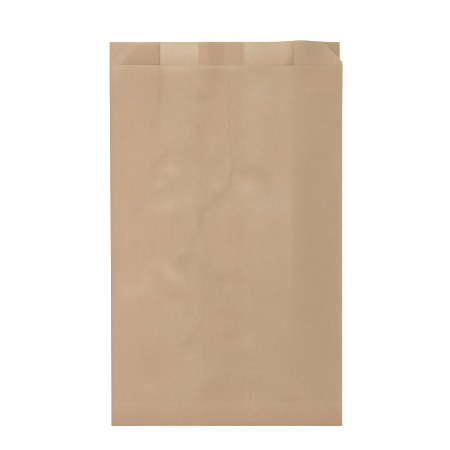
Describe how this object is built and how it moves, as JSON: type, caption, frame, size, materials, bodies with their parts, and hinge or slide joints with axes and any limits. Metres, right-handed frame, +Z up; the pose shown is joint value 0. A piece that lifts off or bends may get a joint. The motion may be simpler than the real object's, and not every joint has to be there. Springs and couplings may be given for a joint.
{
  "type": "v-bottom paper bag",
  "caption": "Flat kraft paper bag with folded-in side gussets, an overlapped back seam, a folded and pasted bottom and a front panel cut lower than the back, lying on its back with its mouth ajar.",
  "frame": {"origin": "centre of the bounding box's base: the surface the bag lies on, under the middle of its length and width", "axes": "+X across the bag, +Y from the bottom fold to the mouth, +Z up out of the front panel"},
  "size_m": [0.2, 0.3324, 0.0099],
  "materials": {
    "kraft_paper": "matte"
  },
  "bodies": {
    "root": {"paper_bag": "kraft_paper"}
  },
  "joints": []
}
